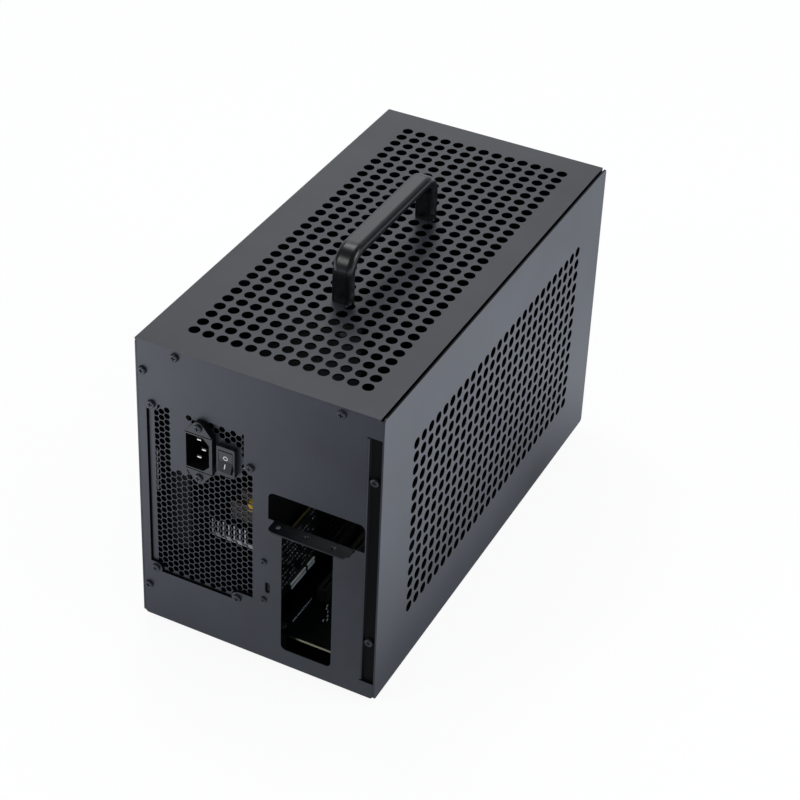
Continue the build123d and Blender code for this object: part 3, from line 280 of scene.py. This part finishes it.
# Painted shade: the port's nickel shell is coloured dark grey all over, for the shade in its opening.
port_shell_painted_dark = finish("nickel_shell_painted_dark", "#232427", "#34363a", 1.0 * mm, 0.3, 0.005 * mm, Metallic=0.8)
dress(port_shell_painted_dark, "usb_c_port")
socket_plastic = finish("moulded_socket_plastic", "#141414", "#1d1d1d", 1.0 * mm, 0.45, 0.02 * mm)
dress(socket_plastic, "dock_link_socket", "slot_link_socket", "power_header", "power_plug", "pcie_slot")


def bar(bm, low, high):
    """Adds a block between two corners."""
    low, high = Vector(low), Vector(high)
    size = Matrix.Diagonal((*(high - low), 1))
    bmesh.ops.create_cube(bm, size=1, matrix=Matrix.Translation((low + high) / 2) @ size)


solder = finish("reflowed_solder", "#c4d2de", "#e2ecf4", 0.8 * mm, 0.45, 0.02 * mm, Metallic=0.4)
epoxy = finish("moulded_epoxy", "#0e0f10", "#17181a", 0.8 * mm, 0.5, 0.02 * mm)
dock_low, dock_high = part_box("dock_board")
face = dock_high.x
chip_lengths = (1.0, 1.6, 2.0)
chip_rows, chip_columns = 8, 15
chip_step_y, chip_step_z = 3.4 * mm, 5.0 * mm
chip_stray = 0.8
empty_share = 0.2
chip_high, tip_high, tip_long = 0.6 * mm, 0.5 * mm, 0.3 * mm
first_y = dock_low.y + 14 * mm
first_z = dock_low.z + 10 * mm
draw = random.Random(7)
chips = bmesh.new()
tips = bmesh.new()
for row in range(chip_rows):
    for column in range(chip_columns):
        y = first_y + column * chip_step_y + draw.uniform(-chip_stray, chip_stray) * mm
        z = first_z + row * chip_step_z + draw.uniform(-chip_stray, chip_stray) * mm
        half_long = draw.choice(chip_lengths) * mm / 2
        half_wide = half_long / 2
        if draw.random() < empty_share:
            continue
        bar(chips, (face, y - half_long, z - half_wide), (face + chip_high, y + half_long, z + half_wide))
        for end in (y - half_long - tip_long, y + half_long):
            bar(tips, (face, end, z - half_wide), (face + tip_high, end + tip_long, z + half_wide))
piece("dock_passives", chips, epoxy, "enclosure")
piece("dock_solder_ends", tips, solder, "enclosure")

rear_y = cad_low.y + 10.5 * mm
socket_spans = ((34.0, 54.2), (57.0, 66.8))
socket_low, socket_high, lip_high = 38.6 * mm, 43.4 * mm, 44.2 * mm
tooth_low, tooth_high = 39.6 * mm, 42.4 * mm
tooth_step, tooth_half = 0.8 * mm, 0.25 * mm
socket_out = face + 0.9 * mm
tooth_out = face + 1.2 * mm
bodies = bmesh.new()
lips = bmesh.new()
teeth = bmesh.new()
for start, end in socket_spans:
    start, end = rear_y + start * mm, rear_y + end * mm
    bar(bodies, (face, start, socket_low), (socket_out, end, socket_high))
    bar(lips, (face, start, socket_high), (socket_out, end, lip_high))
    for i in range(int((end - start) / tooth_step)):
        y = start + (i + 0.5) * tooth_step
        bar(teeth, (socket_out, y - tooth_half, tooth_low), (tooth_out, y + tooth_half, tooth_high))
piece("edge_socket_body", bodies, socket_plastic, "enclosure")
white_nylon = finish("white_moulded_nylon", "#dcdcd8", "#efefec", 1.0 * mm, 0.4, 0.01 * mm)
piece("edge_socket_lip", lips, white_nylon, "enclosure")
piece("edge_socket_contacts", teeth, solder, "enclosure")

# Level board: dark solder-masked laminate. Its bare edge toward the wall is painted pale only from 26 to 30 mm on, a
# painted highlight where the edge catches light. It carries the card slot, whose groove is lined with gilt contacts,
# and a black latch. A row of soldered pins and a few small parts stand between the slot and the wall.
level_mask = finish("dark_solder_mask_level", "#010303", "#030807", 1.4 * mm, 0.4, 0.02 * mm,
                    Specular_IOR_Level=0.12)
cut_edge = share_along(level_mask, "Normal", 1, -0.4, -0.6)
lit_stretch = share_along(level_mask, "Object", 0, 26 * mm, 30 * mm)
bare = put(level_mask, "ShaderNodeMath", {0: cut_edge, 1: lit_stretch}, operation="MULTIPLY")
# Painted highlight: the rear-facing edge turns pale only past x = 26 to 30 mm.
repaint(level_mask, bare.outputs[0], "#8b8772", 0.3)
dress(level_mask, "slot_board")
dress(nylon, "slot_latch")
board_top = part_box("slot_board")[1].z
pin_count, pin_step, pin_start = 13, 2.1 * mm, 20 * mm
pin_low_x, pin_high_x, pin_long, pin_high = 16.5 * mm, 17.3 * mm, 0.8 * mm, 0.7 * mm
lone_parts = ((29.6, 44.0), (30.6, 41.0), (33.0, 38.5), (34.6, 35.0), (36.4, 31.5), (34.4, 29.5))
part_wide, part_long, part_high = 0.5, 1.4, 1.2 * mm
pins = bmesh.new()
for i in range(pin_count):
    y = rear_y + pin_start + i * pin_step
    bar(pins, (pin_low_x, y, board_top), (pin_high_x, y + pin_long, board_top + pin_high))
for x, y in lone_parts:
    near = (x * mm, rear_y + y * mm, board_top)
    bar(pins, near, ((x + part_wide) * mm, rear_y + (y + part_long) * mm, board_top + part_high))
piece("level_board_solder", pins, solder, "enclosure")

gilt = finish("gold_plated_bronze", "#7d642e", "#8f7338", 0.8 * mm, 0.25, 0.005 * mm, Metallic=1.0)
slot_low, slot_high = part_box("pcie_slot")
slot_x = (slot_low.x + slot_high.x) / 2
contact_count, contact_step, contact_start = 82, 1.0 * mm, 3.0 * mm
key_middle, key_half = slot_low.y + 14.4 * mm, 1.4 * mm
contact_off, contact_half_x, contact_half_y = 0.72 * mm, 0.2 * mm, 0.3 * mm
contact_low, contact_high = slot_high.z - 7 * mm, slot_high.z - 0.7 * mm
contacts = bmesh.new()
for i in range(contact_count):
    y = slot_low.y + contact_start + i * contact_step
    if abs(y - key_middle) < key_half:
        continue
    for side in (-1, 1):
        x = slot_x + side * contact_off
        bar(contacts, (x - contact_half_x, y - contact_half_y, contact_low),
            (x + contact_half_x, y + contact_half_y, contact_high))
piece("slot_contacts", contacts, gilt, "enclosure")

# Leads: a flat cable of black PVC that links the two boards, and a power lead in a braided black sleeve that ends
# in its plug. Both are matt and stay dark inside the case.
ribbon = finish("flat_cable_pvc", "#060607", "#0b0b0d", 0.8 * mm, 0.5, 0.03 * mm, Specular_IOR_Level=0.1)
dress(ribbon, "link_ribbon")
braid = finish("braided_black_sleeve", "#040404", "#0a0a0b", 0.9 * mm, 0.6, 0.2 * mm, Specular_IOR_Level=0.1)
dress(braid, "power_lead")

# Floor: a sheet of white paper, plain white to the eye, which keeps the case's shade. What the coat mirrors of it
# is painted: a cooler tint as painted reflection colour, and painted light and painted shadow, brighter to the left
# in front of the rear wall, and beside the case a painted shadow at its base that grows brighter further out.
floor_half = 6.0
floor_mesh = bmesh.new()
bmesh.ops.create_grid(floor_mesh, x_segments=1, y_segments=1, size=floor_half)
floor_data = bpy.data.meshes.new("floor")
floor_mesh.to_mesh(floor_data)
floor_mesh.free()
floor = bpy.data.objects.new("floor", floor_data)
bpy.context.scene.collection.objects.link(floor)
paper = bpy.data.materials.new("white_paper_floor")
paper.use_nodes = True
put(paper, "shader", {"Base Color": linear("#f4f4f4"), "Roughness": 0.9, "Specular IOR Level": 0.1})
rays = put(paper, "ShaderNodeLightPath", {}).outputs
direct = rays["Is Camera Ray"]
seen = put(paper, "ShaderNodeMath", {0: direct, 1: rays["Is Glossy Ray"]}, operation="MAXIMUM")
seen = put(paper, "ShaderNodeMath", {0: seen.outputs[0], 1: rays["Is Transmission Ray"]}, operation="MAXIMUM")
glow_share = put(paper, "ShaderNodeMath", {0: seen.outputs[0], 1: 0.9}, operation="MULTIPLY")

# Painted light and painted shadow in the floor's glow for mirror rays, set by place on the floor.
ground = put(paper, "ShaderNodeTexCoord", {}).outputs["Object"]
slant = put(paper, "ShaderNodeVectorMath", {0: ground, 1: (1, -0.483, 0)}, operation="DOT_PRODUCT")
fall = put(paper, "ShaderNodeMapRange",
           {"Value": slant.outputs["Value"], "From Min": -0.116, "From Max": 0.194, "To Min": 3.2, "To Max": 0.08})
painted_front_light = put(paper, "ShaderNodeMix",
                  {0: share_along(paper, "Object", 1, -0.17, -0.36), 2: 0.72, 3: fall.outputs[0]})
# Painted shadow at the base of the case beside it, brighter further out and past its end.
ramp = put(paper, "ShaderNodeValToRGB", {0: share_along(paper, "Object", 0, 0.09, 0.29)})
stops = ramp.color_ramp.elements
stops[0].color = (0.1, 0.1, 0.1, 1)
stops[1].color = (0.9, 0.9, 0.9, 1)
stops.new(0.3).color = (0.55, 0.55, 0.55, 1)
past_end = put(paper, "ShaderNodeMath", {0: share_along(paper, "Object", 1, 0.08, 0.24), 1: 0.75},
               operation="MULTIPLY")
painted_foot_shadow = put(paper, "ShaderNodeMath", {0: ramp.outputs[0], 1: past_end.outputs[0]}, operation="MAXIMUM")
fade = put(paper, "ShaderNodeMath", {0: share_along(paper, "Object", 1, 0.1, 0.45), 1: -0.64, 2: 2.0},
           operation="MULTIPLY_ADD")
painted_side_light = put(paper, "ShaderNodeMath", {0: painted_foot_shadow.outputs[0], 1: fade.outputs[0]}, operation="MULTIPLY")
light = put(paper, "ShaderNodeMix",
            {0: share_along(paper, "Object", 0, 0.08, 0.1), 2: painted_front_light.outputs[0], 3: painted_side_light.outputs[0]})
# Painted reflection colour: mirror rays see a cooler tint.
tint = put(paper, "ShaderNodeMix", {0: direct, 6: (0.94, 1.0, 1.12, 1), 7: (1, 1, 1, 1)}, data_type="RGBA")
level = put(paper, "ShaderNodeMix", {0: direct, 2: light.outputs[0], 3: 1.02})
glow = put(paper, "ShaderNodeEmission", {"Color": tint.outputs[2], "Strength": level.outputs[0]})
matt = paper.node_tree.nodes["Principled BSDF"].outputs[0]
mixed = put(paper, "ShaderNodeMixShader", {0: glow_share.outputs[0], 1: matt, 2: glow.outputs[0]})
paper.node_tree.links.new(mixed.outputs[0], paper.node_tree.nodes["Material Output"].inputs["Surface"])
floor_data.materials.append(paper)

# Room: dim, with one bright side behind the case that the top panel and the handle mirror.
# It shows white behind the floor's end, and lights matt faces evenly.
room = bpy.data.worlds.new("studio_room")
bpy.context.scene.world = room
room.use_nodes = True
bright_side = Vector((-0.37, 0.77, 0.525)).normalized()
outlook = put(room, "ShaderNodeTexCoord", {}).outputs["Generated"]
toward = put(room, "ShaderNodeVectorMath", {0: outlook, 1: bright_side}, operation="DOT_PRODUCT")
mirrored = put(room, "ShaderNodeMapRange",
               {"Value": toward.outputs["Value"], "From Min": 0.5, "From Max": 0.92, "To Min": 0.1, "To Max": 0.62},
               interpolation_type="SMOOTHSTEP")
room_rays = put(room, "ShaderNodeLightPath", {}).outputs
lit = put(room, "ShaderNodeMix", {0: room_rays["Is Diffuse Ray"], 2: mirrored.outputs[0], 3: 0.5})
strength = put(room, "ShaderNodeMix", {0: room_rays["Is Camera Ray"], 2: lit.outputs[0], 3: 1.06})
put(room, "room", {"Color": (0.95, 1.0, 1.08, 1), "Strength": strength.outputs[0]})

# Lamps: four square soft boxes round the case.
# Two of them only glint on the near bend of the handle.


def soft_box(name, spot, aim, size, power):
    """Square area lamp aimed at a point."""
    lamp = bpy.data.lights.new(name, "AREA")
    lamp.shape = "SQUARE"
    lamp.size = size
    lamp.energy = power
    box = bpy.data.objects.new(name, lamp)
    box.location = spot
    box.rotation_euler = (Vector(aim) - Vector(spot)).to_track_quat("-Z", "Y").to_euler()
    bpy.context.scene.collection.objects.link(box)


handle_bend = (0, -0.065, 0.265)
soft_box("back_soft_box", (-0.7, 1.4, 1.3), aim=(0, 0, 0.2), size=0.9, power=3)
soft_box("right_soft_box", (1.6, 0.2, 0.9), aim=(0, 0, 0.1), size=0.8, power=10)
soft_box("bend_glint_high", (-0.45, 0.33, 1.6), aim=handle_bend, size=0.5, power=4.5)
soft_box("bend_glint_low", (-0.7, -1.19, 1.09), aim=handle_bend, size=0.5, power=4.5)

# Camera: above and to the right of the rear wall, rolled by a small angle.
# Its lens is given in pixels of an image 800 wide, and its frame is shifted down.
azimuth, elevation, roll = (math.radians(a) for a in (25.657, 31.654, 2.453))
camera_spot = Vector((535.881, -1092.407, 1000.899)) * mm
focal_pixels, image_pixels, sensor = 2100.058, 800, 36.0
flat = math.cos(elevation)
back = Vector((math.sin(azimuth) * flat, -math.cos(azimuth) * flat, math.sin(elevation)))
level_right = Vector((math.cos(azimuth), math.sin(azimuth), 0))
level_up = back.cross(level_right)
right = math.cos(roll) * level_right + math.sin(roll) * level_up
up = back.cross(right)
camera = bpy.data.objects.new("camera", bpy.data.cameras.new("camera"))
camera.data.sensor_width = sensor
camera.data.lens = focal_pixels * sensor / image_pixels
camera.data.shift_y = -0.2114
turn = Matrix((right, up, back)).transposed().to_4x4()
camera.matrix_world = Matrix.Translation(camera_spot) @ turn
bpy.context.scene.collection.objects.link(camera)
bpy.context.scene.camera = camera
bpy.context.scene.view_settings.view_transform = "Standard"

bpy.context.view_layer.update()
